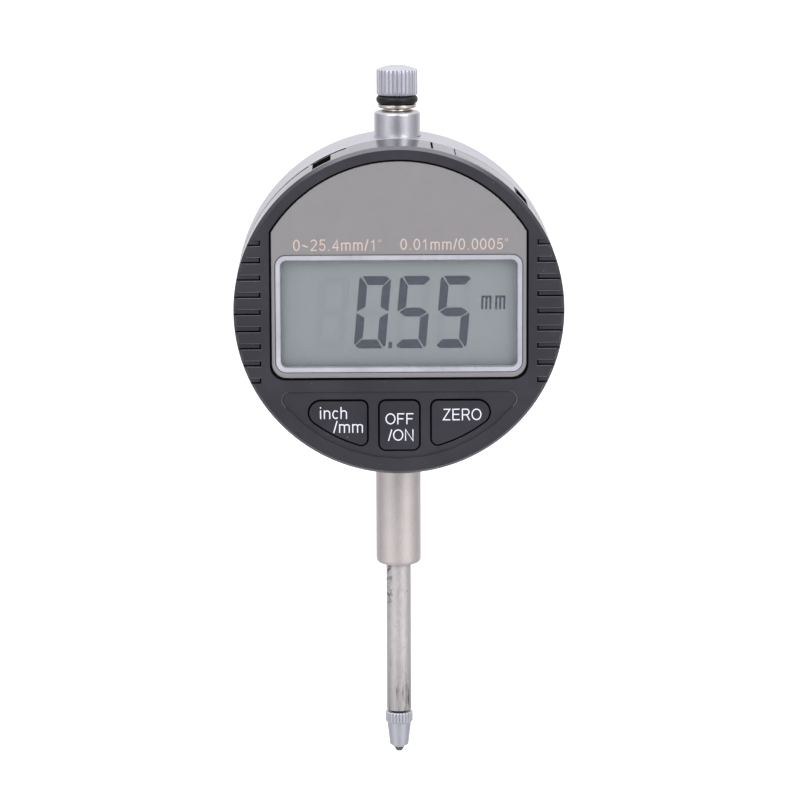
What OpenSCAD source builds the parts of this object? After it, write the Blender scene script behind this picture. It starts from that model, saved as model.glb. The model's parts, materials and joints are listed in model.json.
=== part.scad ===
// Digital dial indicator: a round case on a clamping stem, a display head that turns
// on the case, and a spring-loaded spindle that runs through case and stem.
// +Z is up along the spindle, -Y is the dial side. The origin is on the spindle axis,
// half way along the straight part of the clamping stem.

/* [Case] */
// Outer radius of the case and of the display head
case_r = 28.6; // [28.2:0.1:29.5]
// Distance from the spindle axis to the seam between head and case
seam_h = 6.6; // [6.5:0.1:6.8]
// Depth of the case behind the spindle axis
case_back = 6.6; // [6.6:0.1:8]
// Thickness of the back cover
cover_t = 2.0; // [1.6:0.1:3]

/* [Display head] */
// Distance from the spindle axis to the dial face
face_h = 19.0; // [18.9:0.1:19.4]
// Thickness of the side wall of the bezel
bezel_wall = 1.8; // [1.6:0.1:2]
// Radius of the arched top of the face panel
panel_r = 26.0; // [25.6:0.1:26.1]
// Half width of the face panel
panel_half_w = 22.0; // [21.8:0.1:22.2]
// Height of the bottom edge of the face panel below the case centre
panel_drop = 11.6; // [11.5:0.1:11.8]
// Width of the window rim
rim_w = 42.6; // [42:0.1:42.8]
// Height of the window rim
rim_h = 20.4; // [20:0.1:20.6]
// Width of the rim's own border
rim_border = 0.85; // [0.6:0.05:1.1]
// Number of grip grooves on each side
grip_count = 9; // [5:2:9]
// Distance from one grip groove to the next
grip_pitch = 3.0; // [2.6:0.1:3.1]

/* [Keys] */
// Radius of the arc that the lower edges of the keys follow
key_arc_r = 24.4; // [24.2:0.1:24.8]
// Gap around each key
key_gap = 0.22; // [0.15:0.01:0.3]
// Height of the tops of the keys below the case centre
key_top = 15.6; // [15.4:0.1:16]

/* [Stem and spindle] */
// Diameter of the clamping stem
stem_d = 8.0; // [8:0.1:9.5]
// Length of the straight part of the stem below the case
stem_straight = 18.5; // [17:0.1:21]
// Diameter of the spindle
spindle_d = 4.4; // [4.3:0.05:4.4]
// Measuring travel of the spindle
travel = 25.4; // [20:0.1:25.4]
// Length of the spindle that shows below the stem at rest
spindle_out = 27.15; // [26:0.05:32]
// Length of the contact point below its gap
contact_len = 7.55; // [7.5:0.05:8.5]

/* [Top] */
// Radius of the top collar
collar_r = 4.05; // [4:0.05:4.3]
// Radius of the lifting cap
cap_r = 3.62; // [3.5:0.01:3.8]
// Number of flutes round the lifting cap
cap_flutes = 28; // [20:2:32]

/* [Battery drawer] */
// Radius of the button cell
cell_r = 5.8; // [5.7:0.05:5.8]
// Thickness of the button cell
cell_t = 5.4; // [5:0.1:5.4]

/* [Lug] */
// Radius of the hole in the lug
lug_hole_r = 3.25; // [3:0.05:3.4]
// Thickness of the lug
lug_t = 5.0; // [4.5:0.1:6]

/* [Hidden] */
$fn = 64;
eps = 0.01;
cut = 1;
running_gap = 0.05;
corner_fn = 32;

// Heights along the spindle, measured from the case centre
case_z = case_r + stem_straight / 2;
stem_round = 1.4;
stem_end = case_r + stem_straight + stem_round;
spindle_end = stem_end + spindle_out;
contact_gap = 0.35;
boss_in = 22.2;
bush_r = 2.9;
spigot_r = 3.4;
boss_r = 5.2;
guide_bore_r = spindle_d / 2 + running_gap;
collar_bore_r = 2.5;
collar_mouth_r = 2.75;
shoulder_z = 31.3;
collar_top = 32.8;
seat_top = 33.95;
ring_top = 35.6;
cap_top = 40.85;
cap_screw_top = cap_top - 1.5;
cap_screw_r = 1.25;

// Distances in front of the spindle axis, used by the head
case_inner_r = case_r - 2.2;
front_wall = 1.4;
hub_r = 11.02;
hub_bore_r = 8.5;
hub_clear = 0.08;
back_plate_h = [7.0, 8.4];
board_h = [10.6, 11.8];
plate_h = face_h - 2.0;
head_inner_r = case_r - bezel_wall;
head_rear = seam_h + 0.2;
door_rear = head_rear + 1.1;
pocket_h = face_h - 0.95;
zone_depth = 0.35;
rim_front = face_h - 0.1;
window_half_w = rim_w / 2 - rim_border;
rim_z = -0.4;

// Places round the head, in degrees clockwise from the top
board_screw_angles = [-45, 4, 126.5, -126.5];
plate_screw_angles = [58, 145, -145, -58];
cover_screw_angles = [45, 135, 225, 315];
door_mid = 32.7;
notch_angles = [45.6, 51.6];
slot_angles = [-31.2, -24.1];
slot_mid = (slot_angles[0] + slot_angles[1]) / 2;
tongue_angle = 11.8;
web_angle = -32.4;
groove_end = -18.4;
groove_w = 2.4;
cell_pos = 21.3;
drawer_half_w = 6.12;

// Places in the case
spring_x = 7.2;
spring_y = -1.9;
spring_r = 1.4;
spring_wire = 0.22;
spring_turns = 15;
rail_x = 11;
carriage_z = [-21, -4];
arm_z = [-14, -11];
post_xz = [14.5, 13];

// ---------------------------------------------------------------- helpers

// A flat outline, drawn as seen from the dial side, between two distances in front of the axis
module slab(front, back)
    translate([0, -back, case_z])
        rotate([90, 0, 0])
            linear_extrude(front - back)
                children();

// A profile (radius, distance in front of the axis) turned round the head's own axis
module turned()
    translate([0, 0, case_z])
        rotate([90, 0, 0])
            rotate_extrude()
                children();

module disc(front, back, r)
    slab(front, back)
        circle(r);

module tube(front, back, outer, inner)
    turned()
        translate([inner, back])
            square([outer - inner, front - back]);

// Anything placed by its height above the case centre
module at_height(z)
    translate([0, 0, case_z + z])
        children();

// A point at a radius and an angle clockwise from the top of the dial
function polar(r, a) = [r * sin(a), r * cos(a)];

// Turns an outline that is drawn at the top of the dial to an angle
module at_angle(a)
    rotate(-a)
        children();

// A pie slice between two angles, for cutting rings
module slice(a, r = 40)
    polygon([[0, 0], polar(r, a[0]), polar(r, (a[0] + a[1]) / 2), polar(r, a[1])]);

module arc_band(a, inner, outer)
    intersection() {
        difference() {
            circle(outer);
            circle(inner);
        }
        slice(a);
    }

module rounded(w, h, r)
    offset(r, $fn = corner_fn)
        square([w - 2 * r, h - 2 * r], center = true);

// A small screw along -Y: its head's outer face lies at head_h, its shank runs to tip_h
module screw(pos, head_h, tip_h, r, head_r, head_t) {
    side = head_h < tip_h ? 1 : -1;
    translate([pos[0], 0, pos[1]])
        difference() {
            union() {
                slab(max(head_h, tip_h), min(head_h, tip_h))
                    circle(r);
                slab(max(head_h, head_h + side * head_t), min(head_h, head_h + side * head_t))
                    circle(head_r);
            }
            slab(head_h + head_t * 0.4, head_h - head_t * 0.4)
                square([head_r * 3, head_r * 0.35], center = true);
        }
}

// ---------------------------------------------------------------- outlines on the dial

module panel_outline(grow = 0)
    intersection() {
        circle(panel_r + grow);
        translate([0, 30 - panel_drop - grow])
            rounded(2 * (panel_half_w + grow), 60, 2.6);
    }

module rim_outline(grow = 0)
    translate([0, rim_z])
        rounded(rim_w + 2 * grow, rim_h + 2 * grow, 1.8 + grow);

module window_outline(grow = 0)
    translate([0, rim_z])
        rounded(2 * (window_half_w + grow), rim_h - 2 * rim_border + 2 * grow, 1.0);

// The key on the left: a flat top, an upright right side and an arc below
module side_key_outline(grow = 0) {
    big = 2.1;
    small = 1.1;
    right = -5.55;
    hull() {
        translate([-sqrt(pow(key_arc_r - big, 2) - pow(key_top + big, 2)), -key_top - big])
            circle(big + grow, $fn = corner_fn);
        translate([right - small, -key_top - small])
            circle(small + grow, $fn = corner_fn);
        for (x = [-12.5 : 1.95 : right - small])
            translate([x, -sqrt(pow(key_arc_r - small, 2) - x * x)])
                circle(small + grow, $fn = corner_fn);
    }
}

module middle_key_outline(grow = 0) {
    small = 1.1;
    half_w = 3.47;
    hull()
        for (side = [-1, 1]) {
            x = side * (half_w - small);
            translate([x, -key_top - small])
                circle(small + grow, $fn = corner_fn);
            translate([x, -sqrt(pow(key_arc_r - small, 2) - x * x)])
                circle(small + grow, $fn = corner_fn);
        }
}

module key_zone_outline() {
    small = 1.4;
    zone_r = 25.8;
    zone_top = 14.0;
    hull() {
        for (side = [-1, 1])
            translate([side * sqrt(pow(zone_r - small, 2) - pow(zone_top + small, 2)),
                       -zone_top - small])
                circle(small, $fn = corner_fn);
        for (a = [130 : 10 : 230])
            translate(polar(zone_r - small, a))
                circle(small, $fn = corner_fn);
    }
}

// The way that the battery drawer takes through the head: round inside, parallel-sided out
module drawer_way(grow = 0, length = 9)
    at_angle(door_mid) {
        half_w = drawer_half_w + grow;
        translate([0, cell_pos])
            circle(half_w);
        translate([-half_w, cell_pos])
            square([2 * half_w, length]);
    }

// ---------------------------------------------------------------- the case

module rear_housing()
    color("#d4d3d7")
        difference() {
            union() {
                turned()
                    polygon([
                        [hub_r + hub_clear, seam_h - front_wall],
                        [hub_r + hub_clear, seam_h],
                        [case_r - 0.06, seam_h],
                        [case_r, seam_h - 0.06],
                        [case_r, -case_back],
                        [case_inner_r, -case_back],
                        [case_inner_r, seam_h - front_wall]
                    ]);
                // Bosses that hold the stem and the top collar
                at_height(-case_r)
                    cylinder(h = case_r - boss_in, r = boss_r);
                at_height(boss_in)
                    cylinder(h = case_inner_r + 1 - boss_in, r = boss_r);
                // Posts for the back cover's screws and for the sensor board
                for (a = cover_screw_angles)
                    slab(seam_h - front_wall + eps, -case_back)
                        translate(polar(23.8, a))
                            circle(2.2);
                for (sx = [-1, 1], sz = [-1, 1])
                    slab(seam_h - front_wall + eps, -4.2)
                        translate([sx * post_xz[0], sz * post_xz[1]])
                            circle(1.6);
            }
            at_height(-case_r - 2)
                cylinder(h = case_r + 2 - boss_in + cut, r = spigot_r);
            at_height(boss_in - cut)
                cylinder(h = case_r + 2 - boss_in + cut, r = spigot_r);
            at_height(case_r - 0.3)
                cylinder(h = 2, r = collar_r);
            for (a = cover_screw_angles)
                slab(-case_back + 5, -case_back - cut)
                    translate(polar(23.8, a))
                        circle(0.8);
            for (sx = [-1, 1], sz = [-1, 1])
                slab(-1, -4.2 - cut)
                    translate([sx * post_xz[0], sz * post_xz[1]])
                        circle(0.6);
            for (sz = [-1, 1])
                slab(seam_h + cut, 0)
                    translate([rail_x, sz * 20])
                        circle(0.5);
        }

module back_cover() {
    outer = -case_back - cover_t;
    lug_len = 13.6;
    lug_round = 6.4;
    lug_z = 0;
    color("#cfced2")
        difference() {
            union() {
                turned()
                    polygon([
                        [0, -case_back],
                        [case_r, -case_back],
                        [case_r, outer + 0.6],
                        [case_r - 0.6, outer],
                        [0, outer]
                    ]);
                translate([-lug_t / 2, -outer + lug_len - lug_round, case_z + lug_z])
                    rotate([0, 90, 0])
                        cylinder(h = lug_t, r = lug_round);
                translate([-lug_t / 2, -outer - eps, case_z + lug_z - lug_round])
                    cube([lug_t, lug_len - lug_round + eps, 2 * lug_round]);
            }
            translate([-lug_t, -outer + lug_len - lug_round, case_z + lug_z])
                rotate([0, 90, 0])
                    cylinder(h = 2 * lug_t, r = lug_hole_r);
            for (a = cover_screw_angles) {
                slab(-case_back + cut, outer - cut)
                    translate(polar(23.8, a))
                        circle(1.05);
                slab(outer + 1.1, outer - cut)
                    translate(polar(23.8, a))
                        circle(2.0);
            }
        }
}

module back_cover_screws()
    color("#9c9b9a")
        for (a = cover_screw_angles)
            screw(polar(23.8, a), -case_back - cover_t + 0.1, -case_back + 4, 0.8, 1.85, 0.95);

module stem()
    color("#c4beb9")
        difference() {
            at_height(0)
                rotate_extrude()
                    polygon(concat(
                        [[guide_bore_r, -stem_end]],
                        [for (a = [0 : 15 : 90])
                            [stem_d / 2 - stem_round * (1 - sin(a)),
                             -stem_end + stem_round * (1 - cos(a))]],
                        [[stem_d / 2, -case_r],
                         [spigot_r, -case_r],
                         [spigot_r, -boss_in],
                         [guide_bore_r, -boss_in]]
                    ));
            at_height(-stem_end + 3)
                cylinder(h = stem_end, r = bush_r);
        }

module lower_bush()
    color("#b89b62")
        at_height(-boss_in - 12)
            difference() {
                cylinder(h = 12, r = bush_r);
                translate([0, 0, -cut])
                    cylinder(h = 14, r = guide_bore_r);
            }

module top_collar()
    color("#bdbcc2")
        difference() {
            at_height(0)
                rotate_extrude()
                    polygon(concat(
                        [[collar_bore_r, boss_in], [spigot_r, boss_in], [spigot_r, case_r - 0.3],
                         [collar_r, case_r - 0.3]],
                        [for (a = [0 : 15 : 90])
                            [collar_r - 0.9 * (1 - cos(a)), collar_top - 0.9 * (1 - sin(a))]],
                        [[collar_bore_r, collar_top]]
                    ));
            at_height(boss_in - cut)
                cylinder(h = 8 + cut, r = bush_r);
            at_height(collar_top - 0.9)
                cylinder(h = 2, r = collar_mouth_r);
        }

module upper_bush()
    color("#b89b62")
        at_height(boss_in)
            difference() {
                cylinder(h = 8, r = bush_r);
                translate([0, 0, -cut])
                    cylinder(h = 10, r = guide_bore_r);
            }

module stop_bumper()
    color("#2b2b2d")
        at_height(-boss_in)
            difference() {
                cylinder(h = 1.1, r = 3.3);
                translate([0, 0, -cut])
                    cylinder(h = 3, r = 2.4);
            }

// The channel that keeps the carriage from turning
module guide_rail()
    color("#a9a9ad")
        difference() {
            union() {
                slab(3.8, 0.8)
                    translate([rail_x, 0])
                        square([2.6, 45], center = true);
                for (sz = [-1, 1])
                    slab(seam_h - front_wall, 3.8 - eps)
                        translate([rail_x, sz * 20.4])
                            square([2.6, 4.2], center = true);
            }
            slab(2.8, 0)
                translate([rail_x - 0.45, arm_z[0] - 0.6])
                    square([0.9, travel + 4.6]);
            for (sz = [-1, 1])
                slab(seam_h, 0)
                    translate([rail_x, sz * 20])
                        circle(0.55);
        }

module guide_rail_screws()
    color("#8e8d8c")
        for (sz = [-1, 1])
            screw([rail_x, sz * 20], 0.2, 6.2, 0.5, 1.1, 0.6);

module spring_anchor()
    color("#a9a9ad")
        slab(seam_h - front_wall, 0.7)
            translate([spring_x, -23.1])
                circle(0.7);

// The coil spring that pulls the carriage down
module return_spring() {
    bottom = -22.3;
    top = carriage_z[1] - 1.3;
    per_turn = 16;
    sides = 6;
    steps = spring_turns * per_turn;
    ring = function (i)
        let (a = 360 * i / per_turn, z = bottom + spring_wire + (top - bottom - 2 * spring_wire) * i / steps)
        [for (k = [0 : sides - 1])
            let (b = 360 * k / sides, r = spring_r - spring_wire + spring_wire * cos(b))
            [spring_x + r * cos(a), spring_y + r * sin(a), case_z + z + spring_wire * sin(b)]];
    points = [for (i = [0 : steps]) each ring(i)];
    walls = [for (i = [0 : steps - 1], k = [0 : sides - 1])
        let (n = (k + 1) % sides)
        [i * sides + k, i * sides + n, (i + 1) * sides + n, (i + 1) * sides + k]];
    ends = [[for (k = [sides - 1 : -1 : 0]) k], [for (k = [0 : sides - 1]) steps * sides + k]];
    color("#b4b4b8")
        polyhedron(points, concat(walls, ends), convexity = 6);
}

module sensor_board()
    color("#1f5c3a")
        difference() {
            slab(-4.2, -5.2)
                square(2 * post_xz + [2.4, 2.4], center = true);
            for (sx = [-1, 1], sz = [-1, 1])
                slab(0, -6)
                    translate([sx * post_xz[0], sz * post_xz[1]])
                        circle(0.7);
        }

module sensor_chip()
    color("#222224")
        slab(-5.2, -6.1)
            translate([-6, 2])
                square([7, 7], center = true);

module sensor_board_screws()
    color("#9c9b9a")
        for (sx = [-1, 1], sz = [-1, 1])
            screw([sx * post_xz[0], sz * post_xz[1]], -5.9, -2, 0.6, 1.2, 0.7);

module flex_cable()
    color("#b3772b")
        union() {
            slab(board_h[0] - 0.1, -3.9)
                translate([-7.6, 0])
                    square([0.16, 6.4], center = true);
            slab(-3.9, -4.2)
                translate([-8.9, 0])
                    square([2.8, 6.4], center = true);
        }

// ---------------------------------------------------------------- the spindle

module spindle()
    color("#bcb8b6")
        difference() {
            union() {
                at_height(-spindle_end)
                    cylinder(h = spindle_end + shoulder_z, r = spindle_d / 2);
                at_height(shoulder_z - eps)
                    cylinder(h = cap_screw_top - 0.1 - shoulder_z, r = cap_screw_r);
            }
            at_height(-spindle_end - cut)
                cylinder(h = 5 + cut, r = 1.3);
        }

module cap_seat()
    color("#cfc4b8")
        at_height(0)
            rotate_extrude()
                polygon([
                    [cap_screw_r, shoulder_z], [2.3, shoulder_z], [2.3, seat_top - 0.75],
                    [3.1, seat_top - 0.65], [3.45, seat_top - 0.5], [3.45, seat_top],
                    [1.95, seat_top], [1.95, ring_top], [cap_screw_r, ring_top]
                ]);

module cap_o_ring()
    color("#26262a")
        at_height((seat_top + ring_top) / 2)
            rotate_extrude()
                translate([2.85, 0])
                    circle((ring_top - seat_top) / 2);

module lifting_cap() {
    knurl_top = cap_top - 0.8;
    color("#d3d3d9")
        difference() {
            at_height(0)
                rotate_extrude()
                    polygon([
                        [cap_screw_r, ring_top], [cap_r - 0.2, ring_top], [cap_r, ring_top + 0.2],
                        [cap_r, knurl_top], [2.6, knurl_top + 0.45], [1.3, cap_top - 0.1],
                        [0, cap_top], [0, cap_screw_top], [cap_screw_r, cap_screw_top]
                    ]);
            for (i = [0 : cap_flutes - 1])
                rotate(i * 360 / cap_flutes)
                    translate([cap_r + 0.14, 0, case_z + ring_top - cut])
                        cylinder(h = knurl_top - ring_top + cut, r = 0.3, $fn = 8);
        }
}

module contact_point() {
    base = -spindle_end - contact_gap;
    knurl_r = 2.47;
    knurl_len = 2.05;
    cone_end = base - contact_len + 1.4;
    color("#c0c0c6")
        difference() {
            at_height(0)
                rotate_extrude()
                    polygon([
                        [0, -spindle_end + 4.6], [1.25, -spindle_end + 4.6], [1.25, base],
                        [knurl_r - 0.15, base], [knurl_r, base - 0.2],
                        [knurl_r, base - knurl_len + 0.3], [2.16, base - knurl_len],
                        [1.68, cone_end], [1.0, cone_end - 0.45], [0, cone_end - 0.45]
                    ]);
            for (i = [0 : 23])
                rotate(i * 15)
                    translate([knurl_r + 0.1, 0, case_z + base - knurl_len - cut])
                        cylinder(h = knurl_len + 2 * cut, r = 0.22, $fn = 6);
        }
}

module contact_tip() {
    low = -spindle_end - contact_gap - contact_len;
    color("#6e6e6c")
        at_height(0)
            rotate_extrude()
                polygon([
                    [0, low + 0.95], [1.0, low + 0.95], [0.55, low + 0.2],
                    [0.28, low + 0.04], [0, low]
                ]);
}

// The block on the spindle that carries the scale strip, the guide pin and the spring
module carriage()
    color("#9fa0a4")
        difference() {
            union() {
                at_height(carriage_z[0])
                    translate([-3.6, -3.5, 0])
                        cube([7.2, 6.7, carriage_z[1] - carriage_z[0]]);
                at_height(arm_z[0])
                    translate([3.5, 0, 0])
                        cube([rail_x - 3.5 + 1.2, 2.4, arm_z[1] - arm_z[0]]);
                at_height(carriage_z[1] - 1.2)
                    translate([3.5, spring_y - 0.8, 0])
                        cube([spring_x - 3.5 + 1, 1.6, 1.2]);
            }
            at_height(carriage_z[0] - cut)
                cylinder(h = carriage_z[1] - carriage_z[0] + 2 * cut, r = spindle_d / 2);
            at_height(-8)
                rotate([0, -90, 0])
                    cylinder(h = 5, r = 1.0);
            at_height((arm_z[0] + arm_z[1]) / 2)
                translate([rail_x, 1.8, 0])
                    rotate([90, 0, 0])
                        cylinder(h = 5, r = 0.4);
        }

module carriage_screw()
    color("#6f6f72")
        at_height(-8)
            rotate([0, -90, 0])
                difference() {
                    translate([0, 0, spindle_d / 2 + 0.05])
                        cylinder(h = 1.2, r = 1.0);
                    translate([0, 0, spindle_d / 2 + 0.8])
                        cylinder(h = 2, r = 0.5, $fn = 6);
                }

module guide_pin()
    color("#c9c9cc")
        at_height((arm_z[0] + arm_z[1]) / 2)
            translate([rail_x, 1.8, 0])
                rotate([90, 0, 0])
                    cylinder(h = 4.2, r = 0.4);

module scale_strip()
    color("#c98f2e")
        slab(-3.2, -3.8)
            translate([-5, carriage_z[0] + 0.1])
                square([10, carriage_z[1] - carriage_z[0] - 0.2]);

// ---------------------------------------------------------------- the display head

// A shallow pocket with a deeper line along its lower edge and its inner end
// A shallow pocket with a deeper line along its lower edge and its inner end
module grip_groove(side, i) {
    z = (i - (grip_count - 1) / 2) * grip_pitch;
    inner = 23.85;
    line_w = 0.22;
    shallow = 0.4;
    deep = 0.95;
    slab(face_h + cut, face_h - shallow)
        translate([side > 0 ? inner : -inner - 8, z - 0.5])
            square([8, 1]);
    slab(face_h + cut, face_h - deep) {
        translate([side > 0 ? inner : -inner - 8, z - 0.5])
            square([8, line_w]);
        translate([side > 0 ? inner : -inner - line_w, z - 0.5])
            square([line_w, 1]);
    }
}

module front_bezel()
    color("#45434a")
        difference() {
            union() {
                turned()
                    polygon([
                        [head_inner_r, head_rear], [case_r, head_rear],
                        [case_r, face_h - 0.9], [case_r - 0.55, face_h],
                        [0, face_h], [0, plate_h], [head_inner_r, plate_h]
                    ]);
                for (a = board_screw_angles)
                    slab(plate_h + eps, board_h[1])
                        translate(polar(23.9, a))
                            circle(1.5);
                for (a = plate_screw_angles)
                    slab(board_h[0] - 0.2, back_plate_h[1])
                        intersection() {
                            translate(polar(24.9, a))
                                circle(2.0);
                            circle(head_inner_r + 0.3);
                        }
            }
            slab(face_h + cut, pocket_h)
                panel_outline(0.35);
            slab(face_h + cut, plate_h - cut)
                rim_outline(0.1);
            slab(face_h + cut, face_h - zone_depth)
                key_zone_outline();
            slab(face_h + cut, plate_h - cut) {
                side_key_outline(key_gap);
                mirror([1, 0])
                    side_key_outline(key_gap);
                middle_key_outline(key_gap);
            }
            for (side = [-1, 1], i = [0 : grip_count - 1])
                grip_groove(side, i);
            // Battery drawer, finger notch beside it and snap tongue
            slab(plate_h + 0.2, door_rear - 0.1)
                drawer_way(0.18);
            slab(plate_h - 0.2, head_rear + 0.4)
                arc_band(notch_angles, case_r - 1.2, case_r + cut);
            slab(plate_h - 0.2, head_rear + 0.5)
                arc_band([tongue_angle - 0.35, tongue_angle + 0.35], case_r - 1.1, case_r + cut);
            // Data port
            slab(plate_h + 0.2, head_rear + groove_w + 0.4)
                arc_band(slot_angles, head_inner_r - cut, case_r + cut);
            // Groove along the rear edge, crossed by one web
            slab(head_rear + groove_w, head_rear - cut) {
                arc_band([-88, web_angle - 0.5], case_r - 0.9, case_r + cut);
                arc_band([web_angle + 0.5, groove_end], case_r - 0.9, case_r + cut);
            }
            for (a = board_screw_angles)
                slab(board_h[1] + 3.2, board_h[1] - cut)
                    translate(polar(23.9, a))
                        circle(0.6);
            for (a = plate_screw_angles)
                slab(board_h[0] + cut, 0)
                    translate(polar(24.9, a))
                        circle(0.6);
        }

module head_back_plate()
    color("#3c3a40")
        difference() {
            turned()
                polygon([
                    [hub_bore_r, 5.1], [hub_r, 5.1], [hub_r, back_plate_h[0]],
                    [head_inner_r - 0.15, back_plate_h[0]], [head_inner_r - 0.15, back_plate_h[1]],
                    [hub_bore_r, back_plate_h[1]]
                ]);
            for (a = plate_screw_angles) {
                slab(9, 6)
                    translate(polar(24.9, a))
                        circle(0.75);
                slab(back_plate_h[0] + 0.8, 6)
                    translate(polar(24.9, a))
                        circle(1.3);
            }
            for (a = [0, 120, 240])
                slab(7.6, 5)
                    translate(polar(9.76, a))
                        circle(0.5);
        }

module back_plate_screws()
    color("#8e8d8c")
        for (a = plate_screw_angles)
            screw(polar(24.9, a), back_plate_h[0] + 0.05, board_h[0] - 0.3, 0.6, 1.2, 0.65);

module hub_ring()
    color("#b5b5b8")
        difference() {
            tube(5.1, 4.1, 12.6, hub_bore_r);
            for (a = [0, 120, 240]) {
                slab(6, 3)
                    translate(polar(9.76, a))
                        circle(0.55);
                slab(4.6, 3)
                    translate(polar(9.76, a))
                        circle(1.0);
            }
        }

module hub_ring_screws()
    color("#8e8d8c")
        for (a = [0, 120, 240])
            screw(polar(9.76, a), 4.15, 7.5, 0.5, 0.95, 0.4);

module turning_washer()
    color("#e6e2d6")
        tube(back_plate_h[0] - 0.03, seam_h + 0.06, 23, 17);

module face_panel()
    color("#98969a")
        difference() {
            slab(pocket_h + 0.6, pocket_h)
                panel_outline();
            slab(face_h, plate_h)
                rim_outline(0.1);
        }

module window_rim()
    color("#dfe2ea")
        difference() {
            slab(rim_front, plate_h + 0.3)
                rim_outline();
            slab(face_h + cut, plate_h)
                window_outline();
        }

module window_lens()
    color("#dfe8e4", 0.3)
        slab(rim_front - 0.8, plate_h + 0.3)
            window_outline(-0.03);

module lcd_glass()
    color("#8f9a92")
        slab(plate_h - 0.1, plate_h - 1.7)
            translate([0, rim_z])
                square([44.4, 21.6], center = true);

module lcd_holder()
    color("#2a2a2c")
        difference() {
            slab(plate_h - 0.05, board_h[1])
                translate([0, rim_z - 0.1])
                    square([46.4, 23.4], center = true);
            slab(plate_h + cut, board_h[1] - cut)
                translate([0, rim_z])
                    square([44.6, 21.8], center = true);
        }

module lcd_connectors()
    color("#c99aa0")
        for (side = [-1, 1])
            slab(plate_h - 1.7, board_h[1])
                translate([0, rim_z + side * 9.6])
                    square([40, 1.8], center = true);

module display_board()
    color("#1f5c3a")
        difference() {
            disc(board_h[1], board_h[0], 25.4);
            slab(board_h[1] + cut, board_h[0] - cut)
                drawer_way(0.4);
            for (a = board_screw_angles)
                slab(board_h[1] + cut, board_h[0] - cut)
                    translate(polar(23.9, a))
                        circle(0.7);
        }

module board_screws()
    color("#9c9b9a")
        for (a = board_screw_angles)
            screw(polar(23.9, a), board_h[0] - 0.7, board_h[1] + 3, 0.6, 1.2, 0.7);

module main_chip()
    color("#1d1d1f")
        slab(board_h[0], 9.3)
            translate([-11, -11])
                circle(4.5);

module crystal()
    color("#c9c9cc")
        translate([12, -board_h[0] + 0.95, case_z - 14])
            rotate([0, 90, 0])
                cylinder(h = 6, r = 0.95);

// Two leaf springs: one on each flat of the button cell
module battery_contacts()
    color("#c8b57a") {
        slab(14.3, 14.1)
            at_angle(door_mid)
                translate([-8.0, 17.5])
                    square([6.5, 3]);
        slab(14.3, board_h[1])
            at_angle(door_mid)
                translate([-8.0, 17.5])
                    square([0.25, 3]);
        slab(board_h[0], 8.45)
            at_angle(door_mid)
                translate([7.75, 17.5])
                    square([0.25, 3]);
        slab(8.6, 8.45)
            at_angle(door_mid)
                translate([1.5, 17.5])
                    square([6.5, 3]);
    }

// The contact block behind the data port
module data_socket()
    color("#1b1b1d")
        slab(plate_h - 0.2, board_h[1])
            at_angle(slot_mid)
                translate([-1.6, 22.4])
                    square([3.2, 4.0]);

module data_contacts()
    color("#d0a850")
        for (i = [0 : 3])
            slab(board_h[1] + 1.0 + i * 1.1, board_h[1] + 0.5 + i * 1.1)
                at_angle(slot_mid)
                    translate([-1.2, 26.4])
                        square([2.4, 0.15]);

module key_mat()
    color("#5a5a5e") {
        slab(board_h[1] + 0.8, board_h[1])
            intersection() {
                circle(25.3);
                translate([-17.5, -26])
                    square([35, 13.2 - 1.6]);
            }
        for (x = [-10.4, 0, 10.4])
            slab(board_h[1] + 1.5, board_h[1] + 0.8 - eps)
                translate([x, -19.4])
                    circle(2.4);
    }

module key_body(x) {
    slab(face_h - 0.05, plate_h - 0.05 - eps)
        children(0);
    slab(plate_h - 0.05, plate_h - 0.95)
        children(1);
    slab(plate_h - 0.95 + eps, board_h[1] + 2.1)
        translate([x, -19.4])
            circle(2.0);
}

module key_unit()
    color("#434147")
        key_body(-10.4) {
            side_key_outline();
            side_key_outline(0.7);
        }

module key_zero()
    color("#434147")
        key_body(10.4) {
            mirror([1, 0])
                side_key_outline();
            mirror([1, 0])
                side_key_outline(0.7);
        }

module key_power()
    color("#434147")
        key_body(0) {
            middle_key_outline();
            middle_key_outline(0.7);
        }

// ---------------------------------------------------------------- the battery drawer

module battery_door()
    color("#45434a") {
        slab(plate_h + 0.1, door_rear)
            intersection() {
                drawer_way();
                difference() {
                    circle(case_r);
                    circle(case_r - 1.3);
                }
            }
        slab(13.6, 9.0)
            difference() {
                drawer_way(length = case_r - cell_pos - 1.0);
                translate(polar(cell_pos, door_mid))
                    circle(cell_r + 0.05);
                at_angle(door_mid)
                    translate([-cell_r + 0.3, cell_pos])
                        square([2 * cell_r - 0.6, 5]);
            }
    }

module button_cell()
    color("#b9bbc0")
        slab(14.05, 14.05 - cell_t)
            translate(polar(cell_pos, door_mid))
                circle(cell_r);

// ---------------------------------------------------------------- all nodes

rear_housing();
back_cover();
back_cover_screws();
stem();
lower_bush();
top_collar();
upper_bush();
stop_bumper();
guide_rail();
guide_rail_screws();
spring_anchor();
return_spring();
sensor_board();
sensor_chip();
sensor_board_screws();
flex_cable();
spindle();
cap_seat();
cap_o_ring();
lifting_cap();
contact_point();
contact_tip();
carriage();
carriage_screw();
guide_pin();
scale_strip();
front_bezel();
head_back_plate();
back_plate_screws();
hub_ring();
hub_ring_screws();
turning_washer();
face_panel();
window_rim();
window_lens();
lcd_glass();
lcd_holder();
lcd_connectors();
display_board();
board_screws();
main_chip();
crystal();
battery_contacts();
data_socket();
data_contacts();
key_mat();
key_unit();
key_power();
key_zero();
battery_door();
button_cell();
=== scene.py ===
import json
import math

import bmesh
import bpy
from mathutils import Matrix, Vector

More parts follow.
